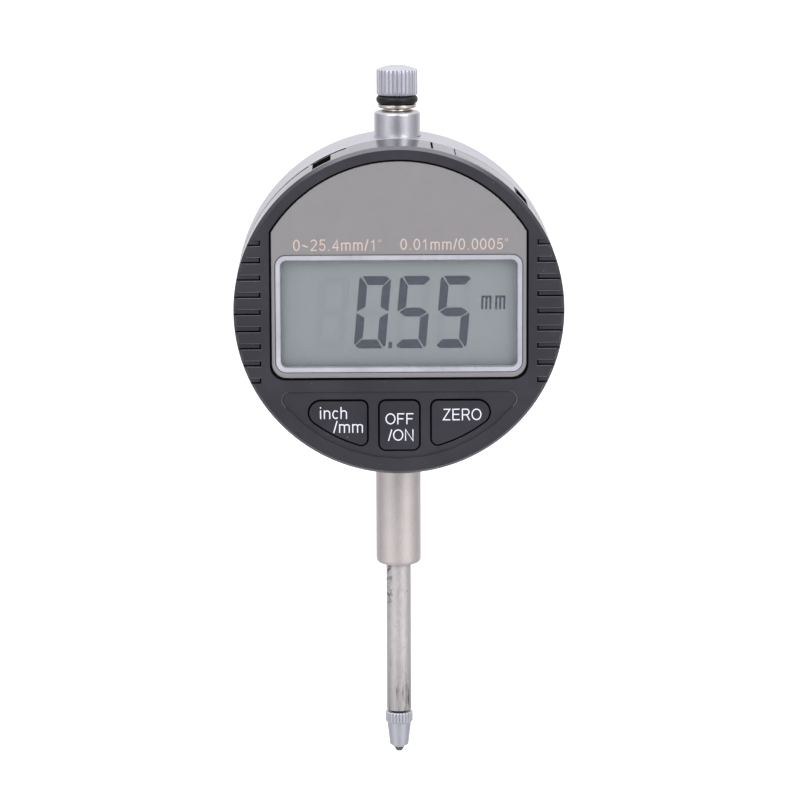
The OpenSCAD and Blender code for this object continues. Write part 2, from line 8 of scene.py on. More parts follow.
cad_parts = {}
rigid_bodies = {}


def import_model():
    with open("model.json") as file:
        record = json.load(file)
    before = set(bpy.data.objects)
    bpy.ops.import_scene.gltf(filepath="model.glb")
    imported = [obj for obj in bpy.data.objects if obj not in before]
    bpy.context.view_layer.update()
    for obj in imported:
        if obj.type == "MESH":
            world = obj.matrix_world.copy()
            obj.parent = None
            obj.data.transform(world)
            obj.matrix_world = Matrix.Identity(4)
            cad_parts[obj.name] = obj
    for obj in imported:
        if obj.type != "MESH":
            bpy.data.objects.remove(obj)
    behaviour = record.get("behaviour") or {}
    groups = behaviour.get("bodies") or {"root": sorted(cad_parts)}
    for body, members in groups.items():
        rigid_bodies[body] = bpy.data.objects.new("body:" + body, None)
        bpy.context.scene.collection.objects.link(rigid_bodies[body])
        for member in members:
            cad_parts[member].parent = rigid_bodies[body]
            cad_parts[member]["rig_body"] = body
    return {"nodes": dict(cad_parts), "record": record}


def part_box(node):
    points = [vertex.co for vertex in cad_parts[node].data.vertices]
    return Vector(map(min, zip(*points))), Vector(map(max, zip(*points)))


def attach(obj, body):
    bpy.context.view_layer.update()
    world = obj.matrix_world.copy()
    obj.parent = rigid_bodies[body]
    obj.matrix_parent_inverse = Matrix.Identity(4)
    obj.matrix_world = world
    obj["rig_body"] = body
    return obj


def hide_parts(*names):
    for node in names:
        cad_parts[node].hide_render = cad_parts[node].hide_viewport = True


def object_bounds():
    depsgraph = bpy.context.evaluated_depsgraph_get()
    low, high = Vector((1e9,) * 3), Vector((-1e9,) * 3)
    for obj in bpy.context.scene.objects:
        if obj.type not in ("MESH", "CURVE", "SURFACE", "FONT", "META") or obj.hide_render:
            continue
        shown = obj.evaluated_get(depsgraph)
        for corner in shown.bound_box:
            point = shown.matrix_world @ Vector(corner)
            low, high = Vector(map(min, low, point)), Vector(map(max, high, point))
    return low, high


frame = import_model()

# The looks of a digital dial indicator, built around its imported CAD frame. +Z is up along the
# spindle and -Y is the dial side. Helper functions take millimetres and build in metres.

MM = 0.001
CAD_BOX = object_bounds()

head_low, head_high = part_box("front_bezel")
CENTRE_Z = (head_low.z + head_high.z) / 2 / MM
HEAD_R = (head_high.x - head_low.x) / 2 / MM


# ------------------------------------------------------------------ sizes from the frame

def span(node, axis):
    """A node's lowest and highest coordinate along an axis, in mm."""
    low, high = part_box(node)
    return low[axis] / MM, high[axis] / MM


def front_of(node):
    """How far a node's front lies in front of the spindle axis, in mm."""
    return -span(node, 1)[0]


def back_of(node):
    """How far a node's back lies in front of the spindle axis, in mm."""
    return -span(node, 1)[1]


def radius_of(node):
    """Half of a node's width, in mm."""
    low, high = span(node, 0)
    return (high - low) / 2


# ------------------------------------------------------------------ outlines

def filleted(corners, closed=False, steps=6):
    """A chain of corners (x, y, radius), each rounded to its radius, as a list of points."""
    points = []
    count = len(corners)
    for i, (x, y, radius) in enumerate(corners):
        here = Vector((x, y))
        if radius <= 0 or (not closed and i in (0, count - 1)):
            points.append(here)
            continue
        before = Vector(corners[i - 1][:2]) - here
        after = Vector(corners[(i + 1) % count][:2]) - here
        half = before.angle(after) / 2
        reach = min(radius / math.tan(half), before.length * 0.499, after.length * 0.499)
        middle = (before.normalized() + after.normalized()).normalized()
        centre = here + middle * (reach / math.cos(half))
        start = here + before.normalized() * reach - centre
        stop = here + after.normalized() * reach - centre
        turn = math.atan2(stop.y, stop.x) - math.atan2(start.y, start.x)
        turn = (turn + math.pi) % (2 * math.pi) - math.pi
        for k in range(steps + 1):
            angle = math.atan2(start.y, start.x) + turn * k / steps
            points.append(centre + start.length * Vector((math.cos(angle), math.sin(angle))))
    return points


def rounded_box(width, height, radius, centre):
    """A rectangle with rounded corners."""
    x, y = centre
    w, h = width / 2, height / 2
    corners = [(x + w, y - h), (x + w, y + h), (x - w, y + h), (x - w, y - h)]
    return filleted([(cx, cy, radius) for cx, cy in corners], closed=True, steps=8)


def inset(outline, distance):
    """A closed outline, anticlockwise, moved inwards by a distance."""
    points = []
    count = len(outline)
    for i, here in enumerate(outline):
        along = (outline[(i + 1) % count] - outline[i - 1]).normalized()
        points.append(here + distance * Vector((-along.y, along.x)))
    return points


def arched_panel(radius, half_w, drop, corner):
    """The face panel's outline: an arc on top, straight sides and two rounded corners below."""
    side = math.degrees(math.asin(half_w / radius))
    top_arc = [Vector((radius * math.sin(math.radians(a)), radius * math.cos(math.radians(a))))
               for a in [side * (1 - 2 * k / 48) for k in range(49)]]
    ends = filleted([(-half_w, top_arc[-1].y, 0), (-half_w, -drop, corner), (half_w, -drop, corner),
                     (half_w, top_arc[0].y, 0)], steps=8)
    return top_arc + ends[1:-1]


# ------------------------------------------------------------------ meshes

def spindle_place(r, h, turn):
    """A point at radius r and height h on the spindle axis."""
    return Vector((r * math.sin(turn), -r * math.cos(turn), h)) * MM


def face_point(point, h):
    """A point drawn as seen from the dial side, h in front of the spindle axis."""
    return Vector((point[0], -h, CENTRE_Z + point[1])) * MM


def finished(name, bm, body, materials, replaces=(), angle=40):
    """Turns a bmesh into a piece that rides on a body and stands for CAD nodes."""
    bmesh.ops.remove_doubles(bm, verts=bm.verts, dist=1e-7)
    bmesh.ops.dissolve_degenerate(bm, edges=bm.edges, dist=1e-7)
    bmesh.ops.recalc_face_normals(bm, faces=bm.faces)
    for face in bm.faces:
        face.smooth = True
    for edge in bm.edges:
        edge.smooth = edge.calc_face_angle(0) < math.radians(angle)
    mesh = bpy.data.meshes.new(name)
    bm.to_mesh(mesh)
    bm.free()
    piece = bpy.data.objects.new(name, mesh)
    bpy.context.scene.collection.objects.link(piece)
    for material in materials if isinstance(materials, list) else [materials]:
        mesh.materials.append(material)
    weigh = piece.modifiers.new("weighted_normals", "WEIGHTED_NORMAL")
    weigh.keep_sharp = True
    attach(piece, body)
    if replaces:
        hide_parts(*([replaces] if isinstance(replaces, str) else replaces))
    return piece


def lathe(profile, sides=96, closed=False, radius=None):
    """A bmesh of a profile (radius, height) turned round the spindle axis. radius(r, h, turn) may
    flute it."""
    bm = bmesh.new()
    rings = []
    for r, h in profile:
        if r < 1e-6:
            rings.append([bm.verts.new(spindle_place(0, h, 0))])
            continue
        ring = []
        for k in range(sides):
            turn = 2 * math.pi * k / sides
            ring.append(bm.verts.new(spindle_place(radius(r, h, turn) if radius else r, h, turn)))
        rings.append(ring)
    pairs = list(zip(rings, rings[1:]))
    if closed:
        pairs.append((rings[-1], rings[0]))
    for low, high in pairs:
        for k in range(sides):
            n = (k + 1) % sides
            corners = [low[k % len(low)], low[n % len(low)], high[n % len(high)], high[k % len(high)]]
            unique = list(dict.fromkeys(corners))
            if len(unique) > 2:
                bm.faces.new(unique)
    return bm


def stack(levels, hole_levels=None):
    """A bmesh of outlines at distances in front of the axis, capped at both ends.
    hole_levels has the same form and cuts a hole right through."""
    bm = bmesh.new()

    def wall(rows):
        made = [[bm.verts.new(face_point(p, h)) for p in outline] for outline, h in rows]
        for low, high in zip(made, made[1:]):
            for k in range(len(low)):
                n = (k + 1) % len(low)
                bm.faces.new((low[k], low[n], high[n], high[k]))
        return made[0], made[-1]

    ends = [wall(levels)]
    if hole_levels:
        ends.append(wall(hole_levels))
    for side in (0, 1):
        loops = [end[side] for end in ends]
        if len(loops) == 1:
            bm.faces.new(loops[0])
            continue
        edges = []
        for loop in loops:
            edges += [bm.edges.get((loop[k], loop[(k + 1) % len(loop)])) for k in range(len(loop))]
        bmesh.ops.triangle_fill(bm, use_beauty=True, edges=edges)
    return bm


def edge_levels(outline, back, front, soft, steps=4, outward=False):
    """Levels for stack() with the front edge rounded by soft."""
    sign = -1 if outward else 1
    rows = [(outline, back)]
    for k in range(steps + 1):
        a = math.pi / 2 * k / steps
        rows.append((inset(outline, sign * soft * (1 - math.cos(a))), front - soft * (1 - math.sin(a))))
    return rows


def softened(node, name, width, materials, segments=2, pick=None, angle=28):
    """A copy of a CAD node with its edges rounded. pick(face) gives a face's material."""
    source = frame["nodes"][node]
    bm = bmesh.new()
    bm.from_mesh(source.data)
    bmesh.ops.remove_doubles(bm, verts=bm.verts, dist=1e-7)
    bmesh.ops.dissolve_limit(bm, angle_limit=math.radians(0.5), verts=bm.verts, edges=bm.edges)
    sharp = [e for e in bm.edges if e.is_manifold and e.calc_face_angle(0) > math.radians(angle)]
    bmesh.ops.bevel(bm, geom=sharp, offset=width * MM, offset_type="OFFSET", segments=segments,
                    profile=0.5, affect="EDGES", clamp_overlap=False)
    bmesh.ops.triangulate(bm, faces=[f for f in bm.faces if len(f.verts) > 4])
    for face in bm.faces:
        face.material_index = pick(face) if pick else 0
    return finished(name, bm, source["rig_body"], materials, replaces=node)


def eased(node, width=0.05):
    """Rounds the edges of a CAD node that stays as it is, with modifiers only."""
    piece = frame["nodes"][node]
    weld = piece.modifiers.new("weld", "WELD")
    weld.merge_threshold = 1e-7
    bevel = piece.modifiers.new("bevel", "BEVEL")
    bevel.width = width * MM
    bevel.segments = 2
    bevel.limit_method = "ANGLE"
    bevel.angle_limit = math.radians(35)
    weigh = piece.modifiers.new("weighted_normals", "WEIGHTED_NORMAL")
    weigh.keep_sharp = True


# ------------------------------------------------------------------ materials

def srgb(r, g, b):
    """A linear colour from the 0 to 255 values seen on a screen."""
    def linear(v):
        v /= 255
        return v / 12.92 if v <= 0.04045 else ((v + 0.055) / 1.055) ** 2.4
    return (linear(r), linear(g), linear(b), 1)


class Material:
    """A Principled material with the few node chains that these finishes need."""

    def __init__(self, name, **sockets):
        self.material = bpy.data.materials.new(name)
        self.material.use_nodes = True
        self.tree = self.material.node_tree
        self.shader = self.tree.nodes["Principled BSDF"]
        self.where = self.tree.nodes.new("ShaderNodeTexCoord").outputs["Object"]
        for socket, value in sockets.items():
            self.shader.inputs[socket.replace("_", " ").title().replace("Ior", "IOR")].default_value = value

    def node(self, kind, **settings):
        made = self.tree.nodes.new(kind)
        for key, value in settings.items():
            setattr(made, key, value)
        return made

    def link(self, start, stop):
        self.tree.links.new(start, stop)

    def stretched(self, scale):
        """Object coordinates scaled along each axis, so that a grain can run one way."""
        mapping = self.node("ShaderNodeMapping")
        mapping.inputs["Scale"].default_value = scale
        self.link(self.where, mapping.inputs["Vector"])
        return mapping.outputs["Vector"]

    def noise(self, scale, detail=3, rough=0.5, along=(1, 1, 1)):
        """Noise from 0 to 1. scale is in features per metre."""
        made = self.node("ShaderNodeTexNoise")
        made.inputs["Scale"].default_value = scale
        made.inputs["Detail"].default_value = detail
        made.inputs["Roughness"].default_value = rough
        self.link(self.stretched(along), made.inputs["Vector"])
        return made.outputs["Fac"]

    def ranged(self, value, low, high, to_low=0, to_high=1):
        made = self.node("ShaderNodeMapRange")
        for socket, number in zip(("From Min", "From Max", "To Min", "To Max"), (low, high, to_low, to_high)):
            made.inputs[socket].default_value = number
        self.link(value, made.inputs["Value"])
        return made.outputs["Result"]

    def maths(self, operation, a, b):
        made = self.node("ShaderNodeMath", operation=operation)
        for socket, value in zip(made.inputs, (a, b)):
            if isinstance(value, (int, float)):
                socket.default_value = value
            else:
                self.link(value, socket)
        return made.outputs["Value"]

    def axis(self, name):
        """One object coordinate in metres."""
        made = self.node("ShaderNodeSeparateXYZ")
        self.link(self.where, made.inputs["Vector"])
        return made.outputs[name]

    def mix(self, factor, a, b):
        """A colour between a and b, which are colours or sockets."""
        made = self.node("ShaderNodeMix", data_type="RGBA")
        self.link(factor, made.inputs["Factor"])
        for socket, value in ((made.inputs[6], a), (made.inputs[7], b)):
            if isinstance(value, tuple):
                socket.default_value = value
            else:
                self.link(value, socket)
        return made.outputs[2]

    def colour(self, value):
        self.link(value, self.shader.inputs["Base Color"])
        return self

    def roughness(self, value, low, high):
        self.link(self.ranged(value, 0.3, 0.7, low, high), self.shader.inputs["Roughness"])
        return self

    def bump(self, height, depth):
        """Raises the surface by up to depth millimetres."""
        made = self.node("ShaderNodeBump")
        made.inputs["Distance"].default_value = depth * MM
        self.link(height, made.inputs["Height"])
        self.link(made.outputs["Normal"], self.shader.inputs["Normal"])
        return self


def plastic(name, colour, low, high, grain=9000, depth=0.004, dust=0.0, **sockets):
    """Moulded plastic: a fine texture, slow changes of tone and a little dust."""
    m = Material(name, **sockets)
    slow = m.noise(120, detail=2)
    darker = tuple(c * 0.9 for c in colour[:3]) + (1,)
    lighter = tuple(min(1, c * 1.1) for c in colour[:3]) + (1,)
    tone = m.mix(m.ranged(slow, 0.35, 0.65), darker, lighter)
    if dust:
        specks = m.ranged(m.noise(2600, detail=1), 0.79, 0.83)
        tone = m.mix(m.maths("MULTIPLY", specks, dust), tone, srgb(190, 190, 195))
    m.colour(tone)
    m.roughness(m.noise(700, detail=3), low, high)
    m.bump(m.noise(grain, detail=2), depth)
    return m.material


def metal(name, colour, low, high, along=(1, 1, 1), grain=3000, depth=0.003, tone=0.06, metallic=1.0):
    """Bare or plated metal. along stretches the grain of its grinding or turning marks."""
    m = Material(name, metallic=metallic)
    fine = m.noise(grain, detail=4, rough=0.6, along=along)
    slow = m.noise(260, detail=3)
    darker = tuple(c * (1 - tone) for c in colour[:3]) + (1,)
    lighter = tuple(min(1, c * (1 + tone)) for c in colour[:3]) + (1,)
    blend = m.maths("ADD", m.maths("MULTIPLY", fine, 0.6), m.maths("MULTIPLY", slow, 0.4))
    m.colour(m.mix(m.ranged(blend, 0.35, 0.65), darker, lighter))
    m.roughness(fine, low, high)
    m.bump(fine, depth)
    return m.material


def top_highlight_edge():
    """The front edge of the head: dark plastic, with a painted highlight near the middle of its top half."""
    m = Material("top_highlight_edge", specular_ior_level=0.4)
    near_middle = m.ranged(m.maths("ABSOLUTE", m.axis("X"), 0), 17 * MM, 10 * MM)
    upper_half = m.ranged(m.axis("Z"), CENTRE_Z * MM, (CENTRE_Z + 10) * MM)
    painted_highlight = m.maths("MULTIPLY", near_middle, upper_half)
    # painted highlight: the edge turns lighter near the middle of its top half, standing in for a lamp's
    # reflection
    m.colour(m.mix(painted_highlight, DARK_PLASTIC, srgb(108, 106, 114)))
    m.roughness(m.noise(700, detail=3), 0.25, 0.35)
    m.bump(m.noise(9000, detail=2), 0.003)
    return m.material


def spindle_steel():
    """Ground steel with dark stains near the stem and streaks near the contact."""
    m = Material("spindle_steel", metallic=1.0)
    fine = m.noise(2600, detail=4, rough=0.6, along=(1, 1, 0.35))
    base = m.mix(m.ranged(fine, 0.35, 0.65), srgb(216, 211, 210), srgb(228, 223, 221))
    low = span("spindle", 2)[0]
    height = m.axis("Z")
    bottom = m.ranged(height, (low + 12) * MM, (low + 1) * MM)
    near_stem = m.maths("MULTIPLY", m.ranged(height, (low + 17) * MM, (low + 22) * MM),
                        m.ranged(height, (low + 29) * MM, (low + 27) * MM))
    left = m.ranged(m.axis("X"), -0.9 * MM, -1.9 * MM)
    blots = m.ranged(m.noise(900, detail=5, rough=0.65), 0.53, 0.6)
    streaks = m.ranged(m.noise(1300, detail=4, rough=0.6, along=(1, 1, 0.12)), 0.55, 0.7)
    stain = m.maths("MULTIPLY", m.maths("MULTIPLY", blots, left), near_stem)
    wear = m.maths("MULTIPLY", m.maths("ADD", m.maths("MULTIPLY", streaks, 0.8), 0.22), bottom)
    pits = m.maths("MULTIPLY", m.ranged(m.noise(1700, detail=3), 0.68, 0.74), 0.6)
    marks = m.maths("MAXIMUM", m.maths("MAXIMUM", stain, wear), pits)
    m.colour(m.mix(marks, base, srgb(96, 88, 84)))
    m.roughness(fine, 0.5, 0.58)
    m.bump(fine, 0.002)
    return m.material


def lcd_surface():
    """The grey-green reflector of the liquid crystal cell, with painted light: a little lighter towards its
    edges.
    """
    m = Material("lcd_surface", roughness=0.5, specular_ior_level=0.15)
    low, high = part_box("lcd_glass")
    across = m.ranged(m.axis("X"), low.x, high.x, -1, 1)
    up = m.ranged(m.axis("Z"), low.z, high.z, -1, 1)
    edge = m.maths("MAXIMUM", m.maths("ABSOLUTE", across, 0), m.maths("ABSOLUTE", up, 0))
    # painted light: the colour turns a little lighter within a band along the edges
    painted_edge_light = m.ranged(edge, 0.86, 1.0)
    grain = m.ranged(m.noise(5200, detail=2), 0.3, 0.7)
    base = m.mix(grain, srgb(118, 124, 127), srgb(121, 127, 130))
    m.colour(m.mix(painted_edge_light, base, srgb(124, 130, 133)))
    m.bump(m.noise(9000, detail=2), 0.002)
    return m.material


def printed(name, colour, **sockets):
    """Screen-printed ink: slightly uneven cover."""
    m = Material(name, roughness=0.5, **sockets)
    cover = m.ranged(m.noise(5000, detail=3), 0.3, 0.7)
    paler = tuple(c * 0.9 for c in colour[:3]) + (1,)
    m.colour(m.mix(cover, paler, colour))
    m.bump(m.noise(9000), 0.002)
    return m.material


def clear_lens():
    """The clear window over the display, almost without colour of its own."""
    m = Material("clear_lens", roughness=0.06, alpha=0.025, specular_ior_level=0.2)
    haze = m.ranged(m.noise(900, detail=2), 0.3, 0.7)
    m.colour(m.mix(haze, srgb(205, 214, 212), srgb(225, 232, 230)))
    m.bump(m.noise(400, detail=2), 0.002)
    return m.material


def circuit_board():
    """Green solder mask over faint tracks."""
    m = Material("circuit_board", roughness=0.35)
    brick = m.node("ShaderNodeTexBrick")
    brick.inputs["Scale"].default_value = 420
    brick.inputs["Color1"].default_value = srgb(22, 84, 52)
    brick.inputs["Color2"].default_value = srgb(26, 92, 58)
    brick.inputs["Mortar"].default_value = srgb(44, 122, 78)
    brick.inputs["Mortar Size"].default_value = 0.03
    turned = m.node("ShaderNodeMapping")
    turned.inputs["Rotation"].default_value = (math.pi / 2, 0, 0)
    m.link(m.where, turned.inputs["Vector"])
    m.link(turned.outputs["Vector"], brick.inputs["Vector"])
    m.colour(brick.outputs["Color"])
    m.bump(brick.outputs["Fac"], 0.01)
    return m.material


DARK_PLASTIC = srgb(49, 48, 54)
MATERIALS = {
    "head_face": plastic("head_face", DARK_PLASTIC, 0.42, 0.52, dust=0.2, specular_ior_level=0.22),
    "head_wall": plastic("head_wall", DARK_PLASTIC, 0.09, 0.15, grain=2500, depth=0.002, dust=0.3),
    "top_highlight_edge": top_highlight_edge(),
    # painted highlight: a lighter grey for the rounded edges of recesses and steps in the face
    "lit_edge": plastic("lit_edge", srgb(104, 102, 108), 0.4, 0.5),
    # painted shade: a near-black plastic put on faces that lie in shadow inside gaps, recesses and outlines
    "painted_shade_black": plastic("painted_shade_black", srgb(14, 14, 16), 0.5, 0.6, specular_ior_level=0.1),
    "key_plastic": plastic("key_plastic", srgb(46, 45, 52), 0.4, 0.5, grain=11000, dust=0.4,
                           specular_ior_level=0.24),
    "inner_plastic": plastic("inner_plastic", srgb(40, 40, 43), 0.45, 0.6),
    "chip_black": plastic("chip_black", srgb(34, 34, 36), 0.5, 0.6),
    "washer_nylon": plastic("washer_nylon", srgb(228, 224, 214), 0.35, 0.5),
    "polyimide": plastic("polyimide", srgb(186, 130, 52), 0.2, 0.35, depth=0.001),
    "rim_plastic": plastic("rim_plastic", srgb(164, 165, 173), 0.25, 0.35, depth=0.002),
    "black_rubber": plastic("black_rubber", srgb(22, 22, 25), 0.35, 0.5, grain=4000, depth=0.01,
                            specular_ior_level=0.35),
    "elastomer": plastic("elastomer", srgb(205, 158, 165), 0.5, 0.6),
    "silicone_mat": plastic("silicone_mat", srgb(98, 98, 102), 0.5, 0.65),
    "cast_zinc": metal("cast_zinc", srgb(205, 204, 210), 0.34, 0.42, grain=7000, depth=0.004),
    "cover_metal": metal("cover_metal", srgb(210, 209, 215), 0.3, 0.4, along=(1, 0.1, 0.04)),
    "screw_steel": metal("screw_steel", srgb(196, 194, 192), 0.22, 0.32),
    "stem_steel": metal("stem_steel", srgb(226, 219, 215), 0.46, 0.56, along=(1, 1, 0.5), grain=4200,
                        depth=0.005, tone=0.07),
    "collar_steel": metal("collar_steel", srgb(208, 208, 214), 0.3, 0.38, along=(0.5, 0.5, 2)),
    "cap_aluminium": metal("cap_aluminium", srgb(214, 214, 223), 0.34, 0.42, grain=6000, depth=0.004),
    "contact_steel": metal("contact_steel", srgb(214, 216, 222), 0.48, 0.56),
    "carbide": metal("carbide", srgb(124, 122, 120), 0.3, 0.45),
    "nickel": metal("nickel", srgb(232, 220, 208), 0.08, 0.14, along=(1, 1, 4)),
    "zinc_plate": metal("zinc_plate", srgb(202, 202, 206), 0.25, 0.38),
    "spring_steel": metal("spring_steel", srgb(206, 205, 207), 0.2, 0.3),
    "bronze": metal("bronze", srgb(206, 176, 118), 0.28, 0.4),
    "gold_plate": metal("gold_plate", srgb(236, 200, 120), 0.14, 0.22),
    "cell_steel": metal("cell_steel", srgb(206, 208, 212), 0.14, 0.24),
    "spindle_steel": spindle_steel(),
    "circuit_board": circuit_board(),
    "lcd": lcd_surface(),
    "lens_plastic": clear_lens(),
    "panel_metal": metal("panel_metal", srgb(151, 148, 150), 0.42, 0.5, along=(0.06, 1, 1), grain=9000,
                         depth=0.002, tone=0.03, metallic=0.55),
    "ink_white": printed("ink_white", srgb(214, 216, 222)),
    "ink_gold": printed("ink_gold", srgb(190, 172, 160)),
    "lit_segment": printed("lit_segment", srgb(56, 59, 72), specular_ior_level=0.1),
    "unlit_segment": printed("unlit_segment", srgb(120, 124, 128), specular_ior_level=0.1),
}


# ------------------------------------------------------------------ the head's shell and keys

FACE_H = front_of("front_bezel")


def shell_finish(face):
    """0: the textured front, 1: the side wall, 2: inside gaps, painted black as shade, 3: the front edge, with
    a painted highlight at the top, 4: edges of recesses, painted lighter as highlight.
    """
    middle = face.calc_center_median() / MM
    depth = FACE_H + middle.y
    radius = math.hypot(middle.x, middle.z - CENTRE_Z)
    outward = (face.normal.x * middle.x + face.normal.z * (middle.z - CENTRE_Z)) / radius
    if radius > HEAD_R - 0.6 and face.normal.y > -0.8 and depth > 0.02:
        return 3 if face.normal.y < -0.3 and depth < 1 else 1
    low, wide = -17 < middle.z - CENTRE_Z < -14, abs(middle.x) > 24.6
    if (low or wide) and depth < 0.3 and face.normal.y > -0.95 and radius < HEAD_R - 0.8:
        return 4
    if outward > 0.8 and depth > 2 and face.calc_area() > 3 * MM ** 2:
        return 1
    if radius < HEAD_R - 3 and face.normal.y > -0.95 and depth > 0.37:
        return 2
    if depth > 0.9 or (depth > 0.43 and face.normal.y > -0.35):
        return 2
    return 0


SHELL = [MATERIALS[name] for name in ("head_face", "head_wall", "painted_shade_black", "top_highlight_edge", "lit_edge")]
softened("front_bezel", "bezel_shell", 0.06, SHELL, pick=shell_finish)
softened("battery_door", "drawer_front", 0.08, SHELL, pick=shell_finish)
for key in ("key_unit", "key_power", "key_zero"):
    # the steep sides of each key's rounding get painted shade, a black outline
    softened(key, key + "_cap", 0.16, [MATERIALS["key_plastic"], MATERIALS["painted_shade_black"]], segments=4,
             pick=lambda face: 1 if face.normal.y > -0.85 else 0)


# ------------------------------------------------------------------ the window and its panel

CORNER_R = {"window_lens": 1.0, "window_rim": 1.8}


def outline_of(node, grow=0.0):
    """The outline of the lens or the rim, made larger by grow on every side."""
    low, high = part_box(node)
    width = (high.x - low.x) / MM + 2 * grow
    height = (high.z - low.z) / MM + 2 * grow
    return rounded_box(width, height, CORNER_R[node] + grow, (0, (low.z + high.z) / 2 / MM - CENTRE_Z))


def face_panel():
    low, high = span("face_panel", 2)
    panel = arched_panel(high - CENTRE_Z, radius_of("face_panel"), CENTRE_Z - low, 2.6)
    front, back = front_of("face_panel"), back_of("face_panel")
    hole = edge_levels(outline_of("window_rim", 0.1), back, front, 0.06, steps=2, outward=True)
    finished("face_plate", stack(edge_levels(panel, back, front, 0.12, steps=3), hole), "head",
             MATERIALS["panel_metal"], replaces="face_panel")


def window():
    front, back = front_of("window_rim"), back_of("window_rim")
    outer = edge_levels(outline_of("window_rim"), back, front, 0.22)
    inner = edge_levels(outline_of("window_lens", 0.03), back, front, 0.25, outward=True)
    finished("display_rim", stack(outer, inner), "head", MATERIALS["rim_plastic"],
             replaces="window_rim")
    front, back = front_of("window_lens"), back_of("window_lens")
    finished("display_lens", stack(edge_levels(outline_of("window_lens"), back, front, 0.05, steps=2)), "head",
             MATERIALS["lens_plastic"], replaces="window_lens")


face_panel()
window()


# ------------------------------------------------------------------ what the display shows

DIGIT_H = 12.65
DIGIT_W = 5.5
STROKE = 1.56
SLANT = math.tan(math.radians(5))
DIGIT_PITCH = 7.03
LIT = {"0": "abcdef", "5": "afgcd", " ": ""}


def segment_shapes():
    """The seven segments of one digit round its centre, as outlines, before the slant."""
    w, h, t = DIGIT_W / 2, DIGIT_H / 2, STROKE
    top = [(-w + 0.5, h), (w - 0.9, h), (w - 0.25, h - 0.5), (w - 1.25, h - t), (-w + 1.55, h - t)]
    left = [(-w + 0.3, h - 0.15), (-w + 1.45, h - 1.75), (-w + 1.45, 0.95), (-w, 0.1), (-w, h - 0.55)]
    right = [(w, h - 0.5), (w, 0.1), (w - 1.45, 0.95), (w - 1.45, h - 1.95)]
    middle = [(-w + 0.32, 0), (-w + 1.45, t / 2), (w - 1.45, t / 2), (w - 0.32, 0), (w - 1.45, -t / 2),
              (-w + 1.45, -t / 2)]

    def turned(shape):
        return [(-x, -y) for x, y in shape]

    return {"a": top, "d": turned(top), "f": left, "c": turned(left), "b": right, "e": turned(right),
            "g": middle}


def unit_shapes():
    """The unit at the right of the digits: two small letters, each a bar with three legs."""
    leg, pitch, half_h, bar = 0.37, 0.7, 1.2, 0.36
    wide = 2 * pitch + leg
    shapes = []
    for x in (0, 2.4):
        points = [(x, half_h), (x, -half_h)]
        for k in (1, 2):
            points += [(x + (k - 1) * pitch + leg, -half_h), (x + (k - 1) * pitch + leg, half_h - bar),
                       (x + k * pitch, half_h - bar), (x + k * pitch, -half_h)]
        shapes.append(points + [(x + wide, -half_h), (x + wide, half_h)])
    return shapes


def display_layer(name, shapes, thick, material, slant=SLANT, corner=0.1):
    """Flat shapes on the front of the liquid crystal cell, each with softened corners."""
    bm = bmesh.new()
    front = front_of("lcd_glass")
    for shape in shapes:
        area = sum(a[0] * b[1] - b[0] * a[1] for a, b in zip(shape, shape[1:] + shape[:1]))
        ordered = shape if area > 0 else shape[::-1]
        outline = filleted([(x + y * slant, y, corner) for x, y in ordered], closed=True, steps=4)
        rows = [[bm.verts.new(face_point((p.x + LCD_X, p.y + LCD_Y), h)) for p in outline]
                for h in (front, front + thick)]
        for k in range(len(outline)):
            n = (k + 1) % len(outline)
            bm.faces.new((rows[0][k], rows[0][n], rows[1][n], rows[1][k]))
        bm.faces.new(rows[0])
        bm.faces.new(rows[1])
    finished(name, bm, "head", material)


lcd_low, lcd_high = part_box("window_lens")
LCD_X = (lcd_low.x + lcd_high.x) / 2 / MM
LCD_Y = (lcd_low.z + lcd_high.z) / 2 / MM - CENTRE_Z
FIRST_DIGIT_X = -11.6
READING = " 055"

lit, unlit = [], []
for place, digit in enumerate(READING):
    for label, shape in segment_shapes().items():
        moved = [(x + FIRST_DIGIT_X + place * DIGIT_PITCH, y) for x, y in shape]
        (lit if label in LIT[digit] else unlit).append(moved)
point_x = FIRST_DIGIT_X + 1.5 * DIGIT_PITCH + 0.05
lit.append([(point_x - 0.33, -DIGIT_H / 2), (point_x + 0.33, -DIGIT_H / 2),
            (point_x + 0.33, -DIGIT_H / 2 + 1.1), (point_x - 0.33, -DIGIT_H / 2 + 1.1)])
unit = [[(x + 14.2, y + 1.63) for x, y in shape] for shape in unit_shapes()]
unlit.append([(-19.3, 0.35), (-16.7, 0.35), (-16.7, -0.35), (-19.3, -0.35)])
unlit += [[(x + 15.3, y - 3.2), (x + 17.7, y - 3.2), (x + 17.7, y - 3.6), (x + 15.3, y - 3.6)]
          for x, y in ((0, 1.2), (0, -1.2))]
LIT_THICK, UNLIT_THICK = 0.03, 0.008
display_layer("display_lit", lit, LIT_THICK, MATERIALS["lit_segment"])
display_layer("display_unit", unit, LIT_THICK, MATERIALS["lit_segment"], slant=SLANT / 3, corner=0.06)
display_layer("display_unlit", unlit, UNLIT_THICK, MATERIALS["unlit_segment"])


# ------------------------------------------------------------------ printed words and numbers

def bow(x, y, rx, ry, start, stop, steps=12):
    """Points along part of an ellipse, between two angles in degrees."""
    angles = [math.radians(start + (stop - start) * k / steps) for k in range(steps + 1)]
    return [(x + rx * math.cos(a), y + ry * math.sin(a)) for a in angles]


def arch(left, right, top, rise=0.2):
    """A leg, an arch and a second leg, as in the small letters m, n and h."""
    middle, half = (left + right) / 2, (right - left) / 2
    return bow(middle, top - 0.05 - rise, half, rise, 180, 0, 10) + [(right, 0)]


